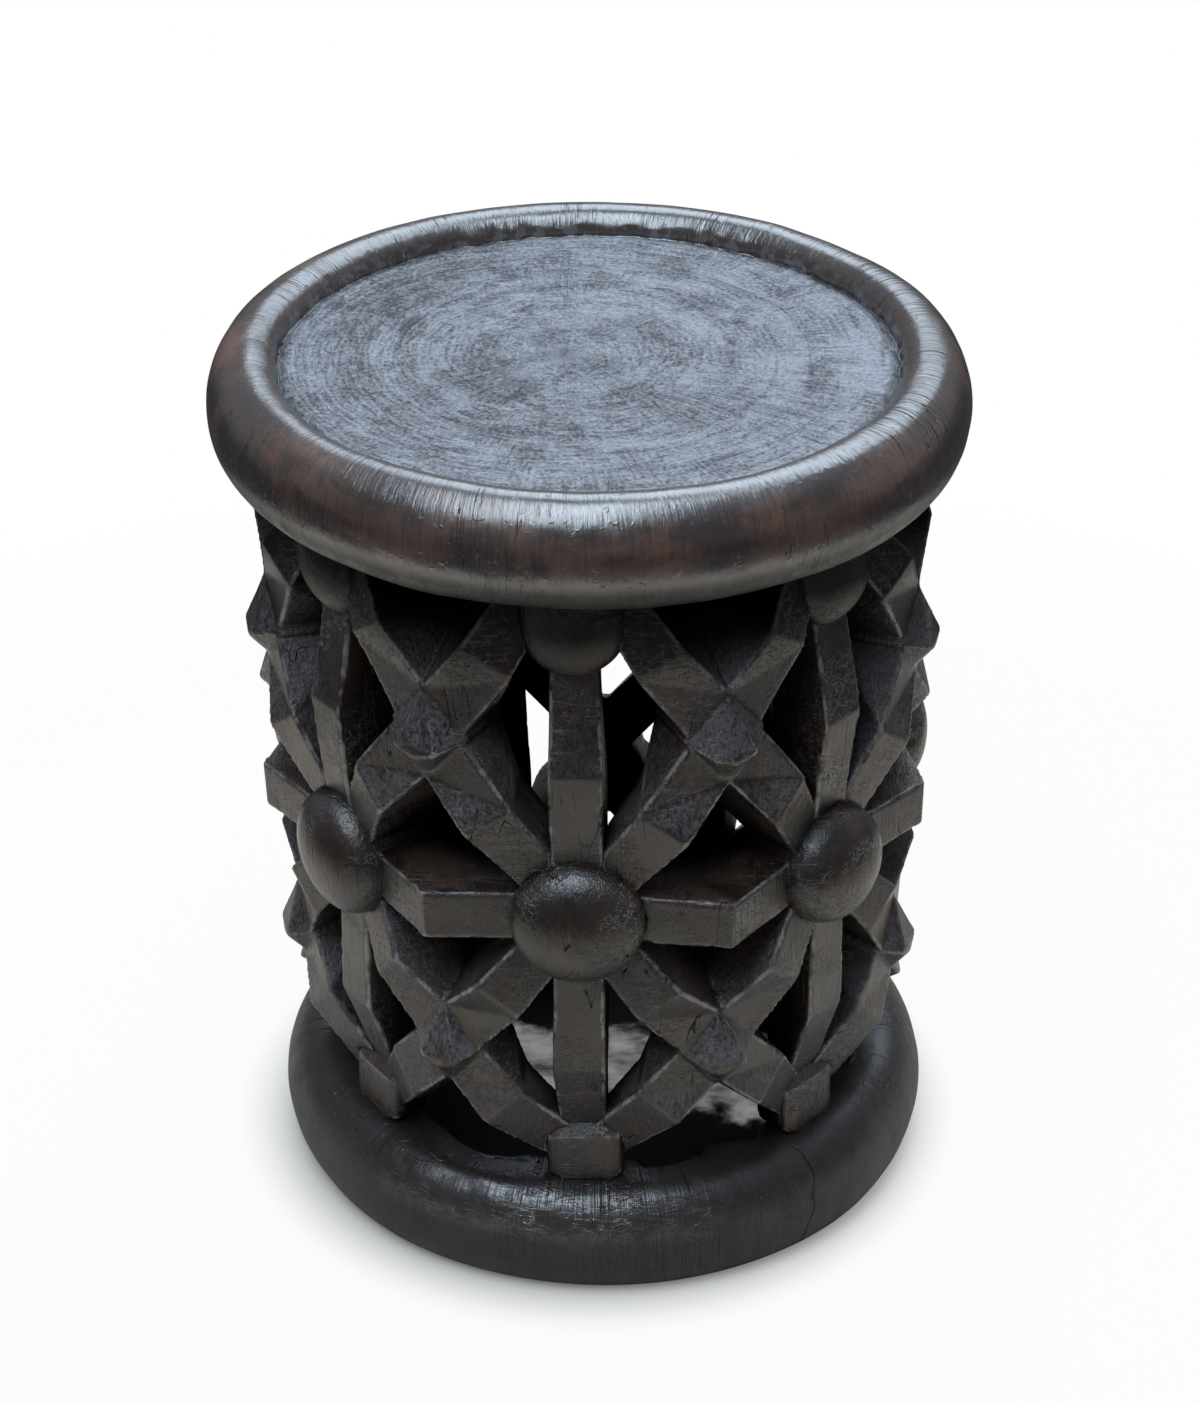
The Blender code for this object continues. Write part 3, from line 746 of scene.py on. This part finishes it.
    # the dark colour here is the underside's painted shade
    plain_colour = f.mix(floor, (0.015, 0.0105, 0.0080), floor_colour)
    plain = {"Base Color": plain_colour, "Roughness": floor_rough, "Normal": floor_bump, "IOR": 1.6}
    return f.second(f.step(floor + under, 0.0, 1.0), plain)


# Foot ring


def foot_profile(settings):
    """Round the ring's section, from the inner edge over the belly, underneath and up the bore."""
    crest = settings.radius - settings.crest_inset
    top = FOOT_HIGH.z
    lip = (settings.bore + 0.003, top)
    start = (settings.bore, top - 0.003)
    profile = [start, (settings.bore + 0.001, top - 0.001), lip, *run_of(lip, (crest, top), 10)]
    rise = top - settings.belly_height
    profile += bow((crest, settings.belly_height), (settings.crest_inset, rise), 90, 0, 26)[1:]
    toe = settings.radius - settings.toe_inset
    below = (settings.toe_inset, settings.belly_height)
    profile += bow((toe, settings.belly_height), below, 0, -90, 22)[1:]
    profile += run_of((toe, 0.0), (settings.bore, 0.0), 8)
    profile += run_of((settings.bore, 0.0), start, 16)
    return profile


def carve_foot(context):
    settings = context.scene.stool_foot
    mesh = turned(foot_profile(settings), TURNED_STEPS, "carved_foot_ring")
    spots, out = places(mesh), facings(mesh)
    turn = np.arctan2(spots[:, 1], spots[:, 0])
    radius = np.hypot(spots[:, 0], spots[:, 1])
    from_column = np.abs((turn + math.pi / 2 + COLUMN_TURN / 2) % COLUMN_TURN - COLUMN_TURN / 2)
    clear_of_block = smooth_step(from_column * settings.bore, 0.018, 0.030)
    cuts = 0.5 + 0.5 * hacked(turn, 72, 8, 2.5)
    inner = 1 - smooth_step(radius, settings.bore + 0.002, settings.bore + 0.014)
    inner *= 0.35 + 0.65 * smooth_step(spots[:, 2], 0.010, 0.045)
    shift = settings.chisel_reach * cuts * inner * clear_of_block
    moved = spots.copy()
    moved[:, :2] *= ((radius + shift) / radius)[:, None]
    standing = smooth_step(spots[:, 2], 0.001, 0.010)
    wave = 0.0007 * lumps(spots, 0.05, 41) + 0.00025 * lumps(spots, 0.013, 42)
    rough = 0.0007 * lumps(spots, 0.007, 43) * inner
    moved += out * ((wave + rough) * standing)[:, None]
    put_places(mesh, wandered(moved, context.scene.stool_lattice.wander))
    put_values(mesh, "inner_cut", inner)
    piece_from(mesh, "carved_foot_ring", ["foot_ring"], foot_finish(settings))


def foot_finish(settings):
    """Satin stain with scuffs on top, hairline cracks, a few pale specks and painted shade along the
    chiselled inner edge.
    """
    material, is_new = finish_named("carved_foot_wood")
    if not is_new:
        return material
    f = Finish(material)
    place = f.place()
    inner = f.value("inner_cut")
    x, y, z = f.part(place, "X"), f.part(place, "Y"), f.part(place, "Z")
    aim_x, aim_y = f.aimed(x, y)
    grain = f.noise(f.joined(aim_x * 80.0, aim_y * 80.0, z * 34.0), 1.0, 4, 0.65)
    cloud = f.noise(place, 24, 4, 0.6)
    scuff = f.step(f.noise(f.mapped(place, (1, 1, 2)), 42, 5, 0.7, 0.5), 0.52, 0.72)
    scuff = scuff * f.step(z, 0.022, 0.050)
    hair = f.line(f.noise(f.joined(aim_x * 40.0, aim_y * 40.0, z * 9.0), 1.0, 2), 0.5, 0.010)
    hair = hair * f.step(f.noise(place, 15, 2), 0.52, 0.64)
    dots = {"Vector": place, "Scale": 95.0}
    speck = f.node("ShaderNodeTexVoronoi", {"feature": "F1"}, dots, out="Distance")
    speck = f.step(speck, 0.05, 0.09, 1.0, 0.0) * f.step(f.noise(place, 31, 1), 0.50, 0.60)
    colour = f.mix(f.step(cloud, 0.42, 0.70) * 0.6, tuple(settings.colour), (0.034, 0.023, 0.018))
    colour = f.mix(scuff * 0.5, colour, tuple(settings.scuff_colour))
    colour = f.mix(hair * 0.8, colour, (0.004, 0.0035, 0.003))
    colour = f.mix(speck * 0.7, colour, SPECK)
    # painted shade along the chiselled inner edge, which faces the dark bore
    colour = f.mix(f.step(inner, 0.3, 0.9) * 0.5, colour, (0.007, 0.0058, 0.005))
    worn = f.noise(f.mapped(place, (1, 1, 1.4)), 75, 5, 0.7, 0.3)
    polish = f.step(y + abs(x + 0.035) * 0.6, -0.080, -0.130) * f.step(z, 0.032, 0.046)
    polish = polish * f.step(worn, 0.32, 0.58)
    across = f.line(f.noise(f.joined(aim_x * 150.0, aim_y * 150.0, z * 12.0), 1.0, 2), 0.5, 0.04)
    along = f.line(f.noise(f.joined(aim_x * 9.0, aim_y * 9.0, z * 420.0), 1.0, 2), 0.5, 0.04)
    scratches = (across + along) * f.step(cloud, 0.40, 0.62)
    bend = (f.noise(place, 60, 2) - 0.5) * 0.05 - (z - 0.03) * 0.8
    crack = f.line(aim_x - 0.677 + bend, 0.0, 0.006) * f.step(y, 0.0, -0.05) * f.step(z, 0.062, 0.048)
    colour = f.mix(scratches * 0.16, colour, tuple(settings.scuff_colour))
    colour = f.mix(crack * 0.9, colour, CRACKS_AND_CREASE_SHADE)
    roughness = 0.45 + (f.noise(place, 50, 3) - 0.5) * 0.2 + f.step(inner, 0.3, 0.9) * 0.2
    roughness = roughness + scuff * 0.08
    height = grain * 0.3 + cloud * 1.1 + worn * 0.5 - scratches * 0.35 - hair * 1.2 - crack * 3.0
    bump = f.bump(height, 0.0009)
    f.shader(colour, roughness, bump, 1.62)
    return f.second(polish, {"Base Color": colour, "Roughness": 0.27, "Normal": bump, "IOR": 2.3})


# Stage


def stage_floor(settings):
    """A pale floor that the camera sees as white away from the stool and shaded near it, with a painted
    pool of light and painted shadow inside the foot ring.
    """
    bm = bmesh.new()
    bmesh.ops.create_grid(bm, x_segments=2, y_segments=2, size=6.0)
    bmesh.ops.translate(bm, verts=bm.verts, vec=(0, 0, -0.0002))
    floor = bpy.data.objects.new("studio_floor", mesh_from(bm, "studio_floor"))
    bpy.context.scene.collection.objects.link(floor)
    f = Finish(bpy.data.materials.new("studio_floor"))
    place = f.place()
    reach = f.size(place)
    principled = f.tree.nodes["Principled BSDF"]
    far = f.step(reach, 0.42, 0.80)
    x, y = f.part(place, "X"), f.part(place, "Y")
    # inside the foot ring: a painted pool of light on the floor, with painted shadow around it
    ragged = (f.noise(place, 34, 4, 0.65) - 0.5) * 0.07
    patch = f.step(abs(y - 0.026 + ragged), 0.044, 0.026)
    patch = patch * f.step(abs(x - 0.018 - ragged), 0.095, 0.070)
    patch = patch * f.step(f.noise(f.mapped(place, (1, 1.7, 1)), 34, 3, 0.6), 0.24, 0.66)
    painted_light_and_shadow_beneath = f.mix(patch, (0.03, 0.029, 0.026), tuple(settings.under_colour))
    shaded = f.mix(f.step(reach, 0.13, 0.16), painted_light_and_shadow_beneath, tuple(settings.floor_colour))
    f.feed(principled.inputs["Base Color"], f.mix(far, shaded, tuple(settings.far_colour)))
    principled.inputs["Roughness"].default_value = 0.9
    seen = f.node("ShaderNodeLightPath", out="Is Camera Ray")
    through = f.node("ShaderNodeLightPath", out="Is Transmission Ray")
    shone = f.node("ShaderNodeLightPath", out="Is Glossy Ray")
    tone = f.mix(shone, (1, 1, 1), (1.0, 0.935, 0.82))
    white = f.node("ShaderNodeEmission", {}, {"Color": tone, "Strength": 1.0})
    lit = f.step(reach, 0.19, 0.36) * (1 - far)
    share = seen * (0.94 + 0.06 * far) + through + shone * 0.86 * lit
    # the painted pool of light also glows faintly for the camera
    share = share * f.step(reach, 0.150, 0.205) + seen * patch * 0.2 * f.step(reach, 0.125, 0.110)
    shaders = {0: share, 1: Wire(f, principled.outputs[0]), 2: white}
    mixed = f.node("ShaderNodeMixShader", {}, shaders)
    f.feed(f.tree.nodes["Material Output"].inputs["Surface"], mixed)
    floor.data.materials.append(f.owner)


def stage_light(settings):
    """A sky that is brightest overhead, a long soft box above the stool and a broad one behind."""
    world = bpy.data.worlds.new("studio_sky")
    bpy.context.scene.world = world
    f = Finish(world)
    aim = f.node("ShaderNodeTexCoord", out="Generated")
    behind = f.step(f.part(aim, "Y"), -0.35, 0.5)
    around = f.mix(behind, tuple(settings.front_colour), tuple(settings.back_colour))
    sky = f.mix(f.step(f.part(aim, "Z"), 0.55, 0.92), around, tuple(settings.sky_colour))
    light = f.tree.nodes["Background"]
    f.feed(light.inputs["Color"], sky)
    light.inputs["Strength"].default_value = settings.sky_strength
    white = f.node("ShaderNodeBackground", {}, {"Color": (1, 1, 1, 1), "Strength": 1.0})
    seen = f.node("ShaderNodeLightPath", out="Is Camera Ray")
    through = f.node("ShaderNodeLightPath", out="Is Transmission Ray")
    shaders = {0: seen + through, 1: Wire(f, light.outputs[0]), 2: white}
    mixed = f.node("ShaderNodeMixShader", {}, shaders)
    f.feed(f.tree.nodes["World Output"].inputs["Surface"], mixed)
    soft_box("top_soft_box", (-0.22, -0.62, 2.35), (1.05, 2.3), settings.key_power, (0.75, 0.875, 1.0))
    soft_box("back_soft_box", (0.35, 1.6, 1.95), (2.0, 1.4), settings.back_power, (0.72, 0.86, 1.0))


def soft_box(name, place, size, power, colour):
    """A rectangular lamp turned towards the stool."""
    lamp = bpy.data.lights.new(name, "AREA")
    lamp.shape = "RECTANGLE"
    lamp.size, lamp.size_y = size
    lamp.energy = power
    lamp.color = colour
    box = bpy.data.objects.new(name, lamp)
    box.location = place
    aim = Vector((0, 0, 0.35)) - box.location
    box.rotation_euler = aim.to_track_quat("-Z", "Y").to_euler()
    box.visible_camera = False
    bpy.context.scene.collection.objects.link(box)


def stage_camera(settings):
    """The camera of the picture: 1200 by 1402 with its centre a little off the frame's."""
    wide, tall, focus = 1200, 1402, 3610.0
    centre_x, centre_y = 597, 741
    camera = bpy.data.cameras.new("picture_camera")
    camera.sensor_width = 36.0
    camera.lens = focus * camera.sensor_width / tall
    camera.shift_x = (wide / 2 - centre_x) / tall
    camera.shift_y = (centre_y - tall / 2) / tall
    camera.clip_end = 50.0
    rise, turn = settings.elevation, settings.azimuth
    back = Vector((math.sin(turn) * math.cos(rise), -math.cos(turn) * math.cos(rise), math.sin(rise)))
    obj = bpy.data.objects.new("picture_camera", camera)
    obj.location = Vector((0, 0, settings.aim_height)) + back * settings.distance
    obj.rotation_euler = back.to_track_quat("Z", "Y").to_euler()
    bpy.context.scene.collection.objects.link(obj)
    bpy.context.scene.camera = obj


# Operators


class STOOL_OT_carve_seat(bpy.types.Operator):
    """Turn the seat with its rim, chipped groove and end-grain floor"""

    bl_idname = "stool.carve_seat"
    bl_label = "Carve Seat"

    def execute(self, context):
        carve_seat(context)
        return {"FINISHED"}


class STOOL_OT_carve_foot(bpy.types.Operator):
    """Turn the foot ring with its chiselled inner edge"""

    bl_idname = "stool.carve_foot"
    bl_label = "Carve Foot Ring"

    def execute(self, context):
        carve_foot(context)
        return {"FINISHED"}


class STOOL_OT_carve_bosses(bpy.types.Operator):
    """Shape the domed bosses of the middle row"""

    bl_idname = "stool.carve_bosses"
    bl_label = "Carve Bosses"

    def execute(self, context):
        carve_lattice(context, "boss", boss_blank(context.scene.stool_lattice))
        return {"FINISHED"}


class STOOL_OT_carve_tongues(bpy.types.Operator):
    """Shape the tongues that hang from the seat"""

    bl_idname = "stool.carve_tongues"
    bl_label = "Carve Tongues"

    def execute(self, context):
        carve_lattice(context, "tongue", tongue_blank(context.scene.stool_lattice))
        return {"FINISHED"}


class STOOL_OT_carve_blocks(bpy.types.Operator):
    """Shape the blocks that stand on the foot ring"""

    bl_idname = "stool.carve_blocks"
    bl_label = "Carve Foot Blocks"

    def execute(self, context):
        carve_lattice(context, "foot_block", cad_blank("foot_block_1"))
        return {"FINISHED"}


class STOOL_OT_carve_uprights(bpy.types.Operator):
    """Shape the upright arms above and below the bosses"""

    bl_idname = "stool.carve_uprights"
    bl_label = "Carve Uprights"

    def execute(self, context):
        for kind in ("upper_upright", "lower_upright"):
            carve_lattice(context, kind, cad_blank(kind + "_1"))
        return {"FINISHED"}


class STOOL_OT_carve_level_arms(bpy.types.Operator):
    """Shape the level arms from boss to boss"""

    bl_idname = "stool.carve_level_arms"
    bl_label = "Carve Level Arms"

    def execute(self, context):
        carve_lattice(context, "level_arm", cad_blank("level_arm_1"))
        return {"FINISHED"}


class STOOL_OT_carve_crossings(bpy.types.Operator):
    """Shape the faceted knuckles with their slanting arms"""

    bl_idname = "stool.carve_crossings"
    bl_label = "Carve Crossings"

    def execute(self, context):
        for kind in ("upper_crossing", "lower_crossing"):
            carve_lattice(context, kind, cad_blank(kind + "_1"))
        return {"FINISHED"}


class STOOL_OT_set_stage(bpy.types.Operator):
    """Set the pale floor, the soft light and the camera"""

    bl_idname = "stool.set_stage"
    bl_label = "Set Stage"

    def execute(self, context):
        settings = context.scene.stool_stage
        stage_floor(settings)
        stage_light(settings)
        stage_camera(settings)
        context.scene.view_settings.view_transform = "Standard"
        return {"FINISHED"}


PIECE_OPERATORS = (
    STOOL_OT_carve_seat,
    STOOL_OT_carve_foot,
    STOOL_OT_carve_bosses,
    STOOL_OT_carve_tongues,
    STOOL_OT_carve_blocks,
    STOOL_OT_carve_uprights,
    STOOL_OT_carve_level_arms,
    STOOL_OT_carve_crossings,
    STOOL_OT_set_stage,
)
SETTINGS = {
    "stool_seat": SeatSettings,
    "stool_foot": FootSettings,
    "stool_lattice": LatticeSettings,
    "stool_stage": StageSettings,
}


class STOOL_PT_carving(bpy.types.Panel):
    """Sizes, colours and steps of the carved stool"""

    bl_label = "Carved Stool"
    bl_idname = "STOOL_PT_carving"
    bl_space_type = "VIEW_3D"
    bl_region_type = "UI"
    bl_category = "Stool"

    def draw(self, context):
        for name, group in SETTINGS.items():
            box = self.layout.box()
            box.label(text=name.replace("stool_", "").title())
            for setting in group.__annotations__:
                box.prop(getattr(context.scene, name), setting)
        for operator in PIECE_OPERATORS:
            self.layout.operator(operator.bl_idname)


CLASSES = (*SETTINGS.values(), *PIECE_OPERATORS, STOOL_PT_carving)


def register():
    for cls in CLASSES:
        bpy.utils.register_class(cls)
    for name, group in SETTINGS.items():
        setattr(bpy.types.Scene, name, PointerProperty(type=group))


def unregister():
    for name in SETTINGS:
        delattr(bpy.types.Scene, name)
    for cls in reversed(CLASSES):
        bpy.utils.unregister_class(cls)


def main():
    register()
    bpy.ops.stool.carve_seat()
    bpy.ops.stool.carve_foot()
    bpy.ops.stool.carve_bosses()
    bpy.ops.stool.carve_tongues()
    bpy.ops.stool.carve_blocks()
    bpy.ops.stool.carve_uprights()
    bpy.ops.stool.carve_level_arms()
    bpy.ops.stool.carve_crossings()
    bpy.ops.stool.set_stage()


if __name__ == "__main__":
    main()
